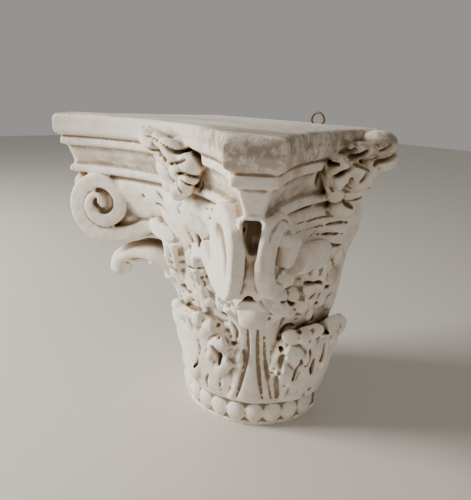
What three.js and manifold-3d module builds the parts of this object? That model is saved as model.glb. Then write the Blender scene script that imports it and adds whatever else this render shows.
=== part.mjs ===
// A wall-hung half of a Corinthian capital, cast in one piece in plaster, with a wire loop in its back edge.
// Millimetres, +Z up. The Z axis is the column's axis and z = 0 is the underside.
// The full face looks along -Y and the half faces along +X and -X. The back is cut off flat.

import * as THREE from 'three';
import { mergeVertices } from 'three/addons/utils/BufferGeometryUtils.js';
import Module from 'manifold-3d';

const wasm = await Module();
wasm.setup();

// ---- driving dimensions ----

const HEIGHT = 272.7;
const BACK = 22.5; // how far the flat back lies behind the column's axis
const CORNER = 150; // half the width of the square that the abacus is cut from
const CORNER_CUT = 25; // how much the cut corners take off each side of that square
const FACE_REACH = 106; // from the axis to the middle of a hollow face of the abacus
const CORNER_REACH = Math.SQRT2 * CORNER - CORNER_CUT / Math.SQRT2;
const BASE_RADIUS = 72;
const BELL_TOP = 219; // where the bell ends, inside the abacus
const BEADS = 26; // in a whole ring
const BEAD_REACH = 70.5;
const BEAD_RISE = 14;
const BEAD_SIZE = [8, 7, 9]; // half width, half depth and half height
const SCROLL_RISE = 190; // height of the left corner's scroll eyes
const FRONT_SCROLL_RISE = 199;
const CUP_TURN = 12; // degrees from a face's middle to each of its cups
const WIRE_RADIUS = 0.9;
const WIRE_FIT = 0.3; // clearance round the wire in the plaster
const WIRE_MIDDLE = 43.8;
const WIRE_SETBACK = 5; // from the back face to the wire
const WIRE_SPREAD = 7; // half the distance between the wire's legs
const WIRE_LEG = 2; // how far the straight legs stand out of the plaster
const WIRE_DEPTH = 9;

const WIDTH = 2 * CORNER;
const ABOVE = 40; // how far the cutting blocks run past the casting
const UP = new THREE.Vector3(0, 1, 0); // the axis that turned bodies are made on
const degrees = THREE.MathUtils.degToRad;

// ---- making and joining bodies ----

// The place that lies `reach` from the axis and `rise` up, at `turn` degrees from the middle of the full
// face, and then `shift` sideways along the face.
function around(turn, reach, rise, shift = 0) {
  const a = degrees(turn);
  const x = reach * Math.sin(a) + shift * Math.cos(a);
  const y = -reach * Math.cos(a) + shift * Math.sin(a);
  return new THREE.Vector3(x, y, rise);
}

// The volume inside a triangle mesh, which is negative when its faces point inwards.
function signedVolume(points, index) {
  const cross = new THREE.Vector3();
  let sum = 0;
  for (let i = 0; i < index.length; i += 3) {
    cross.crossVectors(points[index[i + 1]], points[index[i + 2]]);
    sum += points[index[i]].dot(cross);
  }
  return sum / 6;
}

// A closed body through a row of rings that all have the same number of points, with a fan over each end.
function skin(rings) {
  const cells = rings[0].length;
  const points = rings.flat();
  const index = [];
  for (let i = 0; i + 1 < rings.length; i++) {
    for (let j = 0; j < cells; j++) {
      const a = i * cells + j;
      const b = i * cells + ((j + 1) % cells);
      index.push(a, b, b + cells, a, b + cells, a + cells);
    }
  }
  const ends = [[0, 1], [rings.length - 1, 0]];
  for (const [row, flip] of ends) {
    const middle = new THREE.Vector3();
    for (const point of rings[row]) middle.add(point);
    const hub = points.push(middle.divideScalar(cells)) - 1;
    for (let j = 0; j < cells; j++) {
      const a = row * cells + j;
      const b = row * cells + ((j + 1) % cells);
      index.push(hub, ...(flip ? [b, a] : [a, b]));
    }
  }
  if (signedVolume(points, index) < 0) index.reverse();
  const geometry = new THREE.BufferGeometry().setFromPoints(points);
  return geometry.setIndex(index);
}

function solidOf(geometry) {
  const bare = geometry.clone();
  bare.deleteAttribute('normal');
  bare.deleteAttribute('uv');
  const joined = mergeVertices(bare, 1e-4);
  const vertProperties = Float32Array.from(joined.attributes.position.array);
  const triVerts = Uint32Array.from(joined.index.array);
  return new wasm.Manifold(new wasm.Mesh({ numProp: 3, vertProperties, triVerts }));
}

function geometryOf(solid) {
  const mesh = solid.getMesh();
  const geometry = new THREE.BufferGeometry();
  geometry.setAttribute('position', new THREE.BufferAttribute(mesh.vertProperties, 3));
  return geometry.setIndex(new THREE.BufferAttribute(mesh.triVerts, 1));
}

function block(x0, x1, y0, y1, z0, z1) {
  const box = new THREE.BoxGeometry(x1 - x0, y1 - y0, z1 - z0);
  return box.translate((x0 + x1) / 2, (y0 + y1) / 2, (z0 + z1) / 2);
}

const EGG_COLUMNS = 6;
const EGG_ROWS = 4;

// An egg that stands at `turn`, with its half width, half depth and half height in `size`, tilted sideways.
function egg(turn, reach, rise, size, tilt = 0) {
  const place = around(turn, reach, rise);
  const round = new THREE.SphereGeometry(1, EGG_COLUMNS, EGG_ROWS).rotateX(Math.PI / 2).scale(...size);
  return round.rotateY(degrees(tilt)).rotateZ(degrees(turn)).translate(place.x, place.y, place.z);
}

// A flat round bar along a smooth curve through `stops`. Each stop is a place, the direction of the bar's
// broad side there, and the bar's half width and half thickness.
function bar(stops, steps, sides = 8) {
  const path = new THREE.CatmullRomCurve3(stops.map((stop) => stop.place), false, 'centripetal');
  const rings = [];
  for (let i = 0; i <= steps; i++) {
    const t = i / steps;
    const k = Math.min(Math.floor(t * (stops.length - 1)), stops.length - 2);
    const mix = t * (stops.length - 1) - k;
    const [from, to] = [stops[k], stops[k + 1]];
    const broad = from.broad.clone().lerp(to.broad, mix).normalize();
    const ahead = path.getTangent(t);
    const thick = new THREE.Vector3().crossVectors(broad, ahead).normalize();
    const width = THREE.MathUtils.lerp(from.width, to.width, mix);
    const depth = THREE.MathUtils.lerp(from.depth, to.depth, mix);
    const centre = path.getPoint(t);
    const ring = [];
    for (let j = 0; j < sides; j++) {
      const turn = (2 * Math.PI * (j + 0.5)) / sides;
      const point = centre.clone().addScaledVector(broad, width * Math.cos(turn));
      ring.push(point.addScaledVector(thick, depth * Math.sin(turn)));
    }
    rings.push(ring);
  }
  return skin(rings);
}

// ---- the abacus: a square plate with four hollow faces and cut corners, moulded below ----

const faceSagitta = CORNER - FACE_REACH;
const faceChord = CORNER - CORNER_CUT;
const faceRadius = (faceChord ** 2 + faceSagitta ** 2) / (2 * faceSagitta);
const faceCentre = FACE_REACH + faceRadius;

// The half angle that a hollow face spans when the outline is drawn in by `inset`.
function faceSpan(inset) {
  const cut = CORNER_REACH - inset;
  const toCorner = Math.acos((faceCentre / Math.SQRT2 - cut) / (faceRadius + inset));
  return toCorner - Math.PI / 4;
}

function abacusOutline(inset, rise, steps = 6) {
  const ring = [];
  const span = faceSpan(inset);
  for (let side = 0; side < 4; side++) {
    for (let i = 0; i <= steps; i++) {
      const a = span * (2 * i / steps - 1);
      const reach = faceCentre - (faceRadius + inset) * Math.cos(a);
      const shift = (faceRadius + inset) * Math.sin(a);
      ring.push(around(90 * side, reach, rise, shift));
    }
  }
  return ring;
}

// The profile under the plate, carried round the outline. Each step is how far the outline is drawn in and
// its height.
const PLATE = [[2.5, HEIGHT], [0, HEIGHT - 3], [0, 256], [6.5, 252.5]];
const FILLET = [[4.8, 251], [4.8, 245]];
const HOLLOW = [[9.5, 244], [12.5, 234], [14, 227]];
const LIP = [[10.3, 224.5], [10.3, 220.5], [16.5, 218.5]];
const DRUM = [[12.8, 212], [12.8, 204], [20, 187], [29, 166], [36, 156]];

function abacus() {
  const steps = [...PLATE, ...FILLET, ...HOLLOW, ...LIP, ...DRUM];
  return skin(steps.map(([inset, rise]) => abacusOutline(inset, rise)));
}

// ---- the bell and its foot with the beads ----

// Reach and rise: the foot band, the bead ground, the fillet, then the bell itself.
const BELL_PROFILE = [
  [0, 0], [BASE_RADIUS, 0], [BASE_RADIUS, 3], [69, 5], [69, 24], [72.5, 25.5], [73, 28], [69.5, 30.5],
  [71, 60], [74, 90], [78, 108], [82, 122], [84.5, 138], [88, 166], [97, 190], [99, 205], [92, BELL_TOP],
  [0, BELL_TOP],
];

function bell() {
  const profile = BELL_PROFILE.map(([reach, rise]) => new THREE.Vector2(reach, rise));
  return new THREE.LatheGeometry(profile, 24).rotateX(Math.PI / 2);
}

function beads() {
  const made = [];
  for (let k = -7; k < 7; k++) made.push(egg((360 / BEADS) * (k + 0.5), BEAD_REACH, BEAD_RISE, BEAD_SIZE));
  return made;
}

// ---- leaves ----

// A leaf round the bell. `spine` gives reach and rise along it, `widths` its half width there. The front
// is fluted by `flutes` waves across it, and the edge swells and narrows with the lobes.
function leaf({ turn, spine, widths, thickness, flute, flutes, lobes, lobeDepth, steps = 10 }) {
  const front = 8;
  const back = 2;
  const line = new THREE.CatmullRomCurve3(spine.map(([reach, rise]) => new THREE.Vector3(reach, 0, rise)));
  const rings = [];
  for (let i = 0; i <= steps; i++) {
    const s = i / steps;
    const centre = line.getPoint(s);
    const ahead = line.getTangent(s);
    const out = new THREE.Vector2(ahead.z, -ahead.x);
    const k = Math.min(Math.floor(s * (widths.length - 1)), widths.length - 2);
    const width = THREE.MathUtils.lerp(widths[k], widths[k + 1], s * (widths.length - 1) - k);
    const scallop = 1 + lobeDepth * Math.cos(2 * Math.PI * lobes * s);
    const ring = [];
    for (const [side, cells] of [[1, front], [-1, back]]) {
      for (let j = 0; j <= cells; j++) {
        const t = side * (2 * j / cells - 1);
        const wave = flute * Math.cos(Math.PI * flutes * t) * (1 - s * s);
        const bulge = thickness * Math.sqrt(1.04 - t * t);
        const lift = side > 0 ? bulge + wave : -bulge;
        const reach = centre.x + out.x * lift;
        const rise = centre.z + out.y * lift;
        ring.push(around(turn, reach, rise, t * width * scallop));
      }
    }
    rings.push(ring);
  }
  return skin(rings);
}

const FULL_FACE_SPINE = [[70, 27], [72, 45], [74, 63], [77, 81], [79, 95], [82, 106], [85, 110], [86, 104]];
const HALF_FACE_SPINE = [[71, 27], [75, 45], [79, 63], [83, 81], [86, 95], [89, 106], [92, 109], [93, 102]];

// The leaves of the lower row stand under the middles of the faces and nearly meet the corner stems.
function faceLeaf(turn, spine) {
  return leaf({
    turn,
    spine,
    widths: [43, 46, 46, 45, 40, 29, 17, 8],
    thickness: 5,
    flute: 1.2,
    flutes: 4,
    lobes: 5,
    lobeDepth: 0.05,
  });
}

const FRONT_SPINE = [
  [69, 27], [71, 50], [73, 80], [78, 108], [88, 130], [99, 143], [111, 146], [118, 138], [117, 126],
];
const LEFT_SPINE = [
  [69, 27], [70, 50], [71, 80], [76, 108], [87, 130], [104, 142], [124, 143], [138, 133], [141, 117],
];

// The tall leaves stand under the corners. Each is a stem below and curls out over at the top.
function cornerLeaf(turn, spine) {
  return leaf({
    turn,
    spine,
    widths: [24, 21, 20, 22, 26, 25, 18, 12, 10],
    thickness: 7,
    flute: 0.8,
    flutes: 2,
    lobes: 4,
    lobeDepth: 0.06,
  });
}

// ---- stalks and scrolls ----

const TURN_STEPS = 12;

// One scroll of the pair under a corner. `hand` is +1 for the scroll on the side of the larger turn, `splay`
// is how far it turns away from the diagonal, `tip` its reach along the diagonal and `gap` its distance from
// it there. The band is rolled from the radius `outer` by `pitch` a turn, for `turns` turns.
function scroll({ corner, hand, splay, tip, gap, eyeRise, outer, pitch, turns, half, screw, stalk }) {
  const diagonal = around(corner, 1, 0);
  const sideways = around(corner, 0, 0, hand);
  const outward = diagonal.clone().multiplyScalar(Math.cos(degrees(splay)));
  outward.addScaledVector(sideways, -Math.sin(degrees(splay)));
  const broad = sideways.clone().multiplyScalar(Math.cos(degrees(splay)));
  broad.addScaledVector(diagonal, Math.sin(degrees(splay)));
  const widest = outer - pitch / 4;
  const eye = diagonal.clone().multiplyScalar(tip - widest * Math.cos(degrees(splay)));
  eye.addScaledVector(sideways, gap + widest * Math.sin(degrees(splay)));
  eye.z = eyeRise;

  const stops = [];
  if (stalk) {
    const cup = corner + 45 * hand - hand * CUP_TURN;
    stops.push({ place: around(cup, 82, 150), broad, width: 7, depth: 7 });
    stops.push({ place: around(cup, 88, 168), broad, width: 7, depth: 7 });
    stops.push({ place: around(cup - hand * CUP_TURN, 97, 176), broad, width: 7, depth: 7 });
    for (const [run, drop] of [[-50, 16], [-24, 27]]) {
      const place = eye.clone().addScaledVector(outward, run);
      place.z -= drop;
      stops.push({ place, broad, width: 6.5, depth: 7 });
    }
  }
  const steps = Math.round(TURN_STEPS * turns);
  for (let i = 0; i <= steps; i++) {
    const turn = (2 * Math.PI * i) / TURN_STEPS;
    const reach = outer - pitch * (i / TURN_STEPS) - pitch / 2;
    const place = eye.clone().addScaledVector(outward, reach * Math.sin(turn));
    place.z -= reach * Math.cos(turn);
    place.addScaledVector(broad, screw * i);
    stops.push({ place, broad, width: half * 1.15, depth: pitch / 2 });
  }
  return { roll: bar(stops, Math.round(stops.length * 1.2), 6), eye, outward, broad };
}

// A round plate behind a roll, which closes the groove between its turns.
function web({ eye, broad }, radius, thickness) {
  const plate = new THREE.CylinderGeometry(radius, radius, thickness, 14);
  const turned = new THREE.Quaternion().setFromUnitVectors(UP, broad);
  return plate.applyQuaternion(turned).translate(eye.x, eye.y, eye.z);
}

// The left corner keeps both scrolls whole.
function leftScrolls() {
  const pair = { corner: -45, tip: 185, gap: 6, eyeRise: SCROLL_RISE, outer: 38, pitch: 17.5, turns: 1.7 };
  const onFullFace = scroll({ ...pair, hand: 1, splay: 8, half: 5.5, screw: 0.22, stalk: true });
  const onHalfFace = scroll({ ...pair, hand: -1, splay: 14, half: 5.5, screw: 0.22, stalk: true });
  return [onFullFace.roll, web(onFullFace, 22, 10), onHalfFace.roll, web(onHalfFace, 22, 10)];
}

// The front corner's pair is thin and stands apart. The right one has a protruding coil, the left one has
// lost its inner turns.
function frontScrolls() {
  const pair = { corner: 45, tip: 187, eyeRise: FRONT_SCROLL_RISE, screw: 0 };
  const rightRing = { outer: 28, pitch: 13, turns: 1, half: 4.2, stalk: false };
  const leftRing = { outer: 33, pitch: 10, turns: 0.62, half: 3.2, stalk: true };
  const right = scroll({ ...pair, ...rightRing, hand: 1, splay: 21, gap: 7.5 });
  const left = scroll({ ...pair, ...leftRing, hand: -1, splay: 20, gap: 8 });
  const coil = web({ eye: right.eye.clone().addScaledVector(right.broad, 3.4), broad: right.broad }, 9, 15);
  return [right.roll, web(right, 24.5, 5.4), coil, left.roll, web(left, 28, 5), shell()];
}

// The broad stalk that runs from a cup of the right half face to the back of the front scroll.
const SHELL = [[80, 88, 166], [72, 108, 182], [64, 132, 192], [58, 150, 195], [54, 158, 194]];

function shell() {
  const broad = new THREE.Vector3(0, 0, 1);
  const size = { broad, width: 10, depth: 6 };
  return bar(SHELL.map(([turn, reach, rise]) => ({ place: around(turn, reach, rise), ...size })), 8, 6);
}

// The plaster between the two scrolls of a corner, which widens towards the bell. Each level is its rise
// and how far it is drawn back.
const WEDGE_OUTLINE = [[60, 36], [112, 21], [160, 5]]; // reach along the diagonal, half width
const WEDGE_LEVELS = [[163, 15], [177, 6], [201, 2]];

function wedge(corner) {
  const rings = WEDGE_LEVELS.map(([rise, back]) => {
    const oneSide = WEDGE_OUTLINE.map(([reach, half]) => around(corner, reach - back, rise, half));
    const otherSide = WEDGE_OUTLINE.map(([reach, half]) => around(corner, reach - back, rise, -half));
    return [...oneSide, ...otherSide.reverse()];
  });
  return skin(rings);
}

// The keel that closes the front corner below its hole. Each level is its rise, reach, left and right edge.
const KEEL_LEVELS = [[204, 181, -6, 7], [188, 179, -7, 7], [170, 171, -8, 6]];
const KEEL_BACK = 138; // how far from the axis the keel's back lies, and how much wider it is on each side
const KEEL_BACK_LEFT = 14;
const KEEL_BACK_RIGHT = 22;

function keel() {
  const rings = KEEL_LEVELS.map(([rise, reach, left, right]) => [
    around(45, KEEL_BACK, rise, right + KEEL_BACK_RIGHT),
    around(45, KEEL_BACK, rise, left - KEEL_BACK_LEFT),
    around(45, reach, rise, left),
    around(45, reach, rise, right),
  ]);
  return skin(rings);
}

// The hole between the front rolls, under the corner of the plate: wide above and narrow below.
function frontHole() {
  const across = around(45, 0, 0, 1);
  const top = { place: around(44.8, 184, 225), broad: across, width: 6, depth: 17 };
  const middle = { place: around(44.8, 184, 213), broad: across, width: 5, depth: 16 };
  const bottom = { place: around(45.2, 182, 203), broad: across, width: 2.2, depth: 12 };
  return bar([top, middle, bottom], 4, 8);
}

// The cup that two stalks grow from: a fluted stem, a double collar and a flared mouth, as reach and rise
// along its own axis.
const CUP_PROFILE = [[0, 0], [7, 0], [9.5, 30], [14, 43], [14, 50], [12, 64], [0, 64]];

function stalkCup(turn) {
  const foot = around(turn, 72, 108);
  const mouth = around(turn, 88, 172);
  const points = CUP_PROFILE.map(([reach, rise]) => new THREE.Vector2(reach, rise));
  const cup = new THREE.LatheGeometry(points, 8);
  const turned = new THREE.Quaternion().setFromUnitVectors(UP, mouth.sub(foot).normalize());
  return cup.applyQuaternion(turned).translate(foot.x, foot.y, foot.z);
}

// ---- the sprigs of leaves and buds on the faces, and the buds between the leaves ----

// Each is a turn from the face's middle, reach, rise, size (half width, half depth, half height) and tilt.
const FULL_FACE_SPRIG = [
  [-8, 110, 256, [17, 10, 7], 20], [8, 110, 251, [17, 11, 8], 28], [18.5, 110, 242, [11, 12, 9], 16],
  [13, 103, 226, [9, 13, 10], 8], [0, 100, 232, [13, 14, 12], 6],
];
const HALF_FACE_SPRIG = [
  [4, 114, 257, [16, 14, 13], 0], [-10, 117, 256, [16, 11, 8], 10], [-18, 115, 238, [9.5, 9, 10.5], 15],
  [-8, 117, 240, [15, 11, 11], 0], [-5, 108, 228, [15, 10, 9], 0],
];
const BUDS = [
  [67.3, 87, 101, [9, 6, 6.5], 12], [90, 94, 105, [11, 7, 9], -12], [-16, 86, 141, [8, 6, 10], 0],
  [25, 86, 140, [9, 6, 7], 0], [66, 86, 138, [7, 6, 7], 0], [93, 87, 148, [6, 6, 8], 0],
];

function eggs(places, middle = 0) {
  return places.map(([turn, reach, rise, size, tilt]) => egg(middle + turn, reach, rise, size, tilt));
}

// ---- the casting ----

const wireY = BACK - WIRE_SETBACK;

function wholeForms() {
  const forms = [abacus(), bell(), ...beads(), ...leftScrolls(), ...frontScrolls(), keel(), ...eggs(BUDS)];
  forms.push(faceLeaf(0, FULL_FACE_SPINE), faceLeaf(90, HALF_FACE_SPINE), faceLeaf(-90, FULL_FACE_SPINE));
  forms.push(cornerLeaf(45, FRONT_SPINE), cornerLeaf(-45, LEFT_SPINE), wedge(45), wedge(-45));
  for (const turn of [CUP_TURN, -CUP_TURN, 90 - CUP_TURN, CUP_TURN - 90]) forms.push(stalkCup(turn));
  forms.push(...eggs(FULL_FACE_SPRIG), ...eggs(HALF_FACE_SPRIG, 90), ...eggs(FULL_FACE_SPRIG, -90));
  return forms;
}

function wireHole(x) {
  const radius = WIRE_RADIUS + WIRE_FIT;
  const depth = WIRE_DEPTH + WIRE_FIT;
  const drill = new THREE.CylinderGeometry(radius, radius, 2 * depth, 12).rotateX(Math.PI / 2);
  return drill.translate(x, wireY, HEIGHT);
}

function casting() {
  const joined = wholeForms().map(solidOf).reduce((whole, form) => whole.add(form));
  const low = block(-WIDTH, WIDTH, -WIDTH, WIDTH, -ABOVE, 0);
  const behind = block(-WIDTH, WIDTH, BACK, WIDTH + ABOVE, -ABOVE, HEIGHT + ABOVE);
  const wireHoles = [wireHole(WIRE_MIDDLE - WIRE_SPREAD), wireHole(WIRE_MIDDLE + WIRE_SPREAD)];
  const cuts = [frontHole(), low, behind, ...wireHoles].map(solidOf);
  return geometryOf(cuts.reduce((whole, cut) => whole.subtract(cut), joined));
}

// ---- the wire: a hoop whose two legs stand in the plaster ----

const HOOP_STEPS = 10;
const WIRE_SIDES = 8;

function wireRoute() {
  const foot = HEIGHT - WIRE_DEPTH;
  const shoulder = HEIGHT + WIRE_LEG;
  const points = [new THREE.Vector3(WIRE_MIDDLE - WIRE_SPREAD, wireY, foot)];
  for (let i = 0; i <= HOOP_STEPS; i++) {
    const a = Math.PI * (1 - i / HOOP_STEPS);
    const x = WIRE_MIDDLE + WIRE_SPREAD * Math.cos(a);
    points.push(new THREE.Vector3(x, wireY, shoulder + WIRE_SPREAD * Math.sin(a)));
  }
  points.push(new THREE.Vector3(WIRE_MIDDLE + WIRE_SPREAD, wireY, foot));
  return points;
}

function wireLoop() {
  const points = wireRoute();
  const rings = points.map((point, i) => {
    const before = points[Math.max(i - 1, 0)];
    const after = points[Math.min(i + 1, points.length - 1)];
    const ahead = after.clone().sub(before).normalize();
    const out = new THREE.Vector3().crossVectors(UP, ahead);
    const ring = [];
    for (let j = 0; j < WIRE_SIDES; j++) {
      const a = (2 * Math.PI * j) / WIRE_SIDES;
      const place = point.clone().addScaledVector(UP, WIRE_RADIUS * Math.cos(a));
      ring.push(place.addScaledVector(out, WIRE_RADIUS * Math.sin(a)));
    }
    return ring;
  });
  return skin(rings);
}

// ---- the part ----

const plaster = new THREE.MeshStandardMaterial({ color: 0xe3ddd0, roughness: 0.85, metalness: 0 });
const darkIron = new THREE.MeshStandardMaterial({ color: 0x3a2e26, roughness: 0.6, metalness: 0.8 });

const group = new THREE.Group();
const capital = new THREE.Mesh(casting(), plaster);
capital.name = 'capital';
const hangingWire = new THREE.Mesh(wireLoop(), darkIron);
hangingWire.name = 'hanging_wire';
group.add(capital, hangingWire);

export default group;
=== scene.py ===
# %% [markdown]
# # A plaster half capital for the wall
#
# The object is the front half of a small Corinthian capital, cast in plaster from a mould and hung on a
# wall by a wire loop. Its forms are those of the carved original: a hollow-sided plate on top (the abacus),
# a bell with leaves round it, scrolls under the corners, a flower on each face and a string of beads at the
# foot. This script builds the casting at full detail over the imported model, and finishes it as old plaster.

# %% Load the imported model
import bpy
import math
import numpy as np
from mathutils import Matrix, Vector
from mathutils.bvhtree import BVHTree


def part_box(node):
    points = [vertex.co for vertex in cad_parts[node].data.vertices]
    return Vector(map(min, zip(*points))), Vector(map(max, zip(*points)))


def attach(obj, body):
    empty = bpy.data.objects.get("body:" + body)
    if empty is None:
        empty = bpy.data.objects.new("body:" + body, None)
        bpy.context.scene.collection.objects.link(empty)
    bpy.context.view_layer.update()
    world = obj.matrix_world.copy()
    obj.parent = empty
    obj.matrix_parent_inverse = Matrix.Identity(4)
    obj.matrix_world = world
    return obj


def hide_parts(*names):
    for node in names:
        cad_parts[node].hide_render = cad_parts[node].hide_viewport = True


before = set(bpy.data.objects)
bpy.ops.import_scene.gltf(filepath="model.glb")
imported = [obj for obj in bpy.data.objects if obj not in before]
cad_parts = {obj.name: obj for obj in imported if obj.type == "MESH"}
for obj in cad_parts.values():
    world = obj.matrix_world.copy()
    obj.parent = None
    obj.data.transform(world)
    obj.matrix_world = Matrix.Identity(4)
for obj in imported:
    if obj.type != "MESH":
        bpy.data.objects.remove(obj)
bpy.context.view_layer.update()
print("nodes:", sorted(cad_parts))

# %% [markdown]
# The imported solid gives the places. Everything below is worked out in millimetres, in the casting's own
# frame: the Z axis is the column's axis, the full face looks along -Y and the back is flat.

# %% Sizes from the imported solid
MM = 0.001
low, high = (np.array(corner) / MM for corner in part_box("capital"))
HEIGHT = high[2]
BACK = high[1]
CORNER = high[0]
CORNER_CUT = CORNER / 6
FACE_REACH = 0.707 * CORNER
CORNER_REACH = math.sqrt(2) * CORNER - CORNER_CUT / math.sqrt(2)
print(f"height {HEIGHT:.1f}, half width {CORNER:.1f}, corner reach {CORNER_REACH:.1f} mm")

# %% [markdown]
# ## Shaping helpers
#
# A capital is laid out round its axis, so a place is given by a turn from the middle of the full face, a
# reach from the axis and a rise from the foot. Each form is a skin over a row of rings. The forms overlap
# freely here, because a voxel remesh melts them into one body later, as the mould and the plaster did.

# %% Places round the axis, and smooth lines
def around(turn, reach, rise, shift=0.0):
    a = np.radians(turn)
    x = reach * np.sin(a) + shift * np.cos(a)
    y = -reach * np.cos(a) + shift * np.sin(a)
    return np.stack(np.broadcast_arrays(x, y, rise), axis=-1).astype(float)


def through(stops, count):
    """A smooth line through the stops (a Catmull-Rom curve), as `count` evenly numbered samples."""
    stops = np.asarray(stops, dtype=float)
    padded = np.vstack([2 * stops[0] - stops[1], stops, 2 * stops[-1] - stops[-2]])
    place = np.linspace(0, len(stops) - 1, count)
    k = np.minimum(place.astype(int), len(stops) - 2)
    t = (place - k)[:, None]
    a, b, c, d = (padded[k + i] for i in range(4))
    return b + 0.5 * t * (c - a + t * (2 * a - 5 * b + 4 * c - d + t * (3 * (b - c) + d - a)))


def unit(vectors):
    return vectors / np.linalg.norm(vectors, axis=-1, keepdims=True)


# %% [markdown]
# The clay gathers closed forms: skins over rings, bars along a curve, eggs, and strands that lie on the body.
# A second gathering, the knife, holds the forms that are cut away.

# %% A skin over rings
class Clay:
    """Closed forms gathered into one mesh."""

    def __init__(self):
        self.points, self.faces, self.count = [], [], 0

    def skin(self, rings):
        rings = np.asarray(rings, dtype=float)
        rows, cols, _ = rings.shape
        ends = rings[[0, -1]].mean(axis=1)
        points = np.vstack([rings.reshape(-1, 3), ends])
        i, j = np.meshgrid(np.arange(rows - 1), np.arange(cols), indexing="ij")
        a = i * cols + j
        b = i * cols + (j + 1) % cols
        sides = np.stack([a, b, b + cols, a, b + cols, a + cols], axis=-1).reshape(-1, 3)
        j = np.arange(cols)
        first, last = rows * cols, rows * cols + 1
        near = np.stack([np.full(cols, first), (j + 1) % cols, j], axis=-1)
        row = (rows - 1) * cols
        far = np.stack([np.full(cols, last), row + j, row + (j + 1) % cols], axis=-1)
        faces = np.vstack([sides, near, far])
        corner = points[faces]
        volume = np.einsum("ij,ij->i", corner[:, 0], np.cross(corner[:, 1], corner[:, 2])).sum()
        if volume < 0:
            faces = faces[:, ::-1]
        self.points.append(points)
        self.faces.append(faces + self.count)
        self.count += len(points)

    def bar(self, stops, broad, widths, depths, steps=40, sides=20, square=1.0):
        """A bar along the stops. `broad` is its broad side's direction, `square` under 1 squares it off."""
        line = through(stops, steps)
        ahead = unit(np.gradient(line, axis=0))
        broad = through(np.broadcast_to(broad, np.shape(stops)), steps)
        thick = unit(np.cross(broad, ahead))
        broad = np.cross(ahead, thick)
        width = through(np.reshape(widths, (-1, 1)), steps)
        depth = through(np.reshape(depths, (-1, 1)), steps)
        a = np.linspace(0, 2 * np.pi, sides, endpoint=False)
        across = np.sign(np.cos(a)) * np.abs(np.cos(a)) ** square
        out = np.sign(np.sin(a)) * np.abs(np.sin(a)) ** square
        rings = line[:, None] + width[:, None] * across[:, None] * broad[:, None]
        self.skin(rings + depth[:, None] * out[:, None] * thick[:, None])

    def blob(self, turn, reach, rise, shift, size, tilt=0.0, nod=0.0):
        """An egg `size` (half width, half depth, half height), tilted in its face and nodding forward."""
        ring = np.linspace(0, np.pi, 12)[1:-1]
        a = np.linspace(0, 2 * np.pi, 18, endpoint=False)
        ball = np.stack([
            np.sin(ring)[:, None] * np.cos(a),
            np.sin(ring)[:, None] * np.sin(a),
            np.broadcast_to(np.cos(ring)[:, None], (len(ring), len(a))),
        ], axis=-1) * np.array(size)
        turned = Matrix.Rotation(math.radians(turn), 3, "Z") @ Matrix.Rotation(math.radians(nod), 3, "X")
        turned = np.array(turned @ Matrix.Rotation(math.radians(tilt), 3, "Y"))
        self.skin(ball @ turned.T + around(turn, reach, rise, shift))

    def mesh(self, name):
        mesh = bpy.data.meshes.new(name)
        faces = np.vstack(self.faces)
        mesh.from_pydata(np.vstack(self.points) * MM, [], faces.tolist())
        made = bpy.data.objects.new(name, mesh)
        bpy.context.scene.collection.objects.link(made)
        print(f"{name}: {len(self.points)} forms, {len(faces)} triangles")
        return made

    def strand(self, stops, widths, depths, steps=30, square=1.0):
        """A bar along stops of (turn, reach, rise) that lies flat on the form, broad side outward."""
        places = around(*np.transpose(stops))
        ahead = np.gradient(places, axis=0)
        self.bar(places, unit(np.cross(places * (1, 1, 0), ahead)), widths, depths, steps, 16, square)


clay = Clay()
knife = Clay()

# %% [markdown]
# ## The abacus
#
# The abacus is a square plate with four hollow faces and cut corners. A running mould would draw its
# mouldings along the face, so it is made as one profile carried round the outline: each step of the
# profile says how far the outline is drawn in at that height.

# %% Abacus
sagitta = CORNER - FACE_REACH
chord = CORNER - CORNER_CUT
face_radius = (chord**2 + sagitta**2) / (2 * sagitta)
face_centre = FACE_REACH + face_radius


def abacus_outline(inset, rise, steps=40):
    cut = CORNER_REACH - inset
    span = math.acos((face_centre / math.sqrt(2) - cut) / (face_radius + inset)) - math.pi / 4
    a = np.linspace(-span, span, steps + 1)
    reach = face_centre - (face_radius + inset) * np.cos(a)
    shift = (face_radius + inset) * np.sin(a)
    return np.vstack([around(90 * side, reach, rise, shift) for side in range(4)])


plate = [
    (5, HEIGHT - 0.1), (1.8, HEIGHT - 1.0), (0.6, HEIGHT - 3.5), (0.3, 260), (0.9, 255.5), (6.5, 252.5),
]
fillet = [(6.8, 251.5), (4.8, 250.8), (4.8, 245.2)]
hollow = [(9.4, 244.2), (11.0, 239), (13.0, 233), (14.0, 227)]
lip = [(13.2, 226), (10.4, 224.6), (10.2, 220.5), (13.0, 219), (17, 218.5)]
drum = [(16.5, 217), (12.8, 212), (12.8, 204), (16, 196), (20, 187), (25, 176), (29, 166), (36, 158)]
abacus_steps = plate + fillet + hollow + lip + drum
clay.skin([abacus_outline(inset, rise) for inset, rise in abacus_steps])

# %% [markdown]
# ## The bell and the beads
#
# Under the plate stands the bell, turned like a vase with a rolled lip. At its foot a string of long beads
# runs round under a thin fillet.

# %% Bell and beads
bell_profile = [
    (71, 0.0), (71.2, 2), (69.6, 4), (69.6, 24), (72.5, 25.5), (73, 28), (69.5, 30.5), (71, 60), (74, 90),
    (78, 108), (82, 122), (84.5, 138), (86, 152), (88, 166), (92, 178), (97, 190), (99, 205), (92, 219),
]
turns = np.linspace(0, 360, 180, endpoint=False)
clay.skin([around(turns, reach, rise) for reach, rise in bell_profile])

BEADS = 26
bead_size = np.array([8.8, 5.0, 10.0])
bead_rng = np.random.default_rng(3)
for k in range(-7, 7):
    worn_away = 1.2 if -4 < k < 2 else 0.0
    size = bead_size * bead_rng.uniform(0.92, 1.05, 3)
    clay.blob(360 / BEADS * (k + 0.5), 70.2 - worn_away, 13.5, 0, size)

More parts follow.
